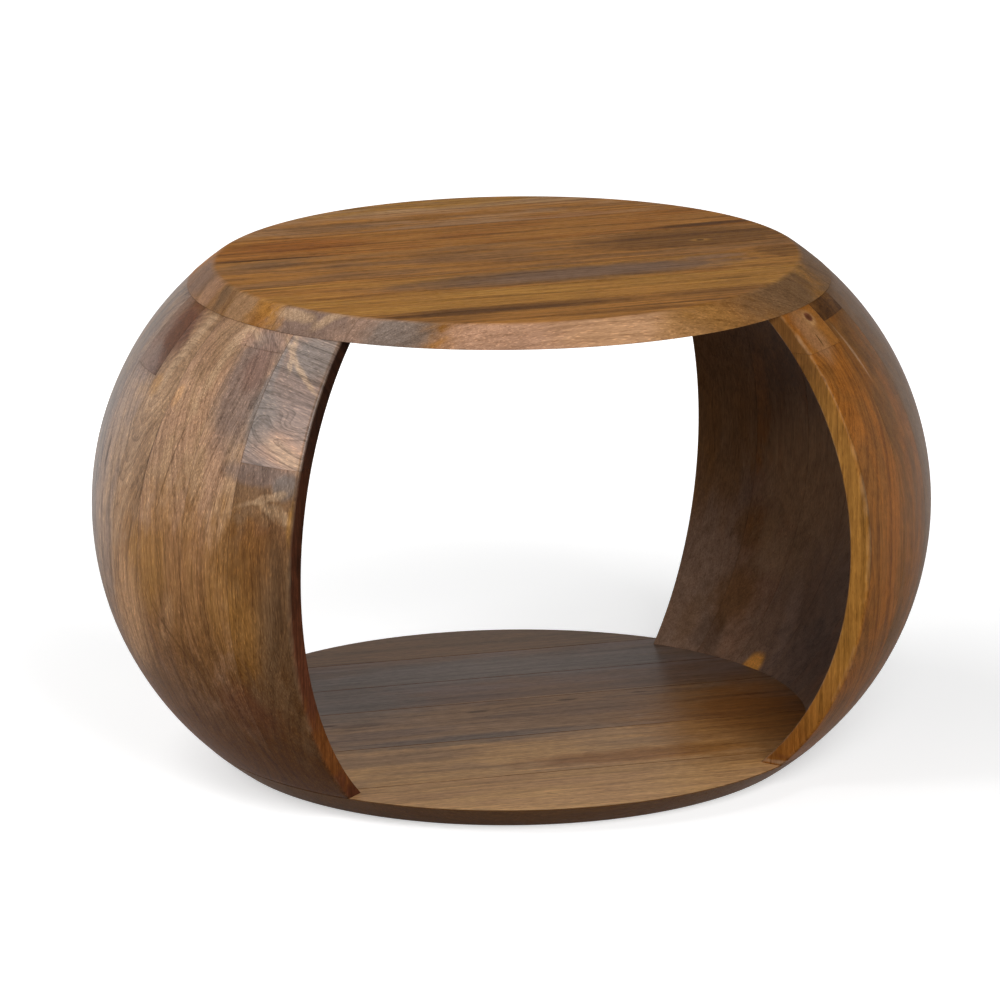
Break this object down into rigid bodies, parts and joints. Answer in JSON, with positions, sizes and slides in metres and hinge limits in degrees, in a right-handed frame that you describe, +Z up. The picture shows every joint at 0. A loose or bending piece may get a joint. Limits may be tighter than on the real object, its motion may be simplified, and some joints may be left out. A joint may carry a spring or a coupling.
{
  "type": "drum coffee table",
  "caption": "Low round drum-shaped wooden coffee table: round top and foot boards joined by two bulging staved walls, open between them.",
  "frame": {"origin": "centre of the foot board's underside, on the floor", "axes": "+Z up along the drum's axis; the two walls are centred on +X and -X; the openings face +Y and -Y"},
  "size_m": [0.75, 0.5705, 0.4475],
  "materials": {
    "top_wood": "satin lacquer on reclaimed mango wood",
    "base_wood": "satin lacquer on reclaimed mango wood",
    "left_wall_wood": "satin lacquer on reclaimed mango wood",
    "right_wall_wood": "satin lacquer on reclaimed mango wood"
  },
  "bodies": {
    "root": {"base_plank_1": "base_wood", "base_plank_2": "base_wood", "base_plank_3": "base_wood", "base_plank_4": "base_wood", "base_plank_5": "base_wood", "base_plank_6": "base_wood", "left_block_1": "left_wall_wood", "left_block_2": "left_wall_wood", "left_block_5": "left_wall_wood", "left_stave_1": "left_wall_wood", "left_stave_10": "left_wall_wood", "left_stave_2": "left_wall_wood", "left_stave_3": "left_wall_wood", "left_stave_4": "left_wall_wood", "left_stave_5": "left_wall_wood", "left_stave_6": "left_wall_wood", "left_stave_7": "left_wall_wood", "left_stave_8": "left_wall_wood", "left_stave_9": "left_wall_wood", "right_block_1": "right_wall_wood", "right_block_2": "right_wall_wood", "right_stave_1": "right_wall_wood", "right_stave_2": "right_wall_wood", "right_stave_3": "right_wall_wood", "right_stave_4": "right_wall_wood", "right_stave_5": "right_wall_wood", "right_stave_6": "right_wall_wood", "right_stave_7": "right_wall_wood", "right_stave_8": "right_wall_wood", "right_stave_9": "right_wall_wood", "top_plank_1": "top_wood", "top_plank_2": "top_wood", "top_plank_3": "top_wood", "top_plank_4": "top_wood", "top_plank_5": "top_wood", "top_plank_6": "top_wood", "top_plank_7": "top_wood"}
  },
  "joints": []
}
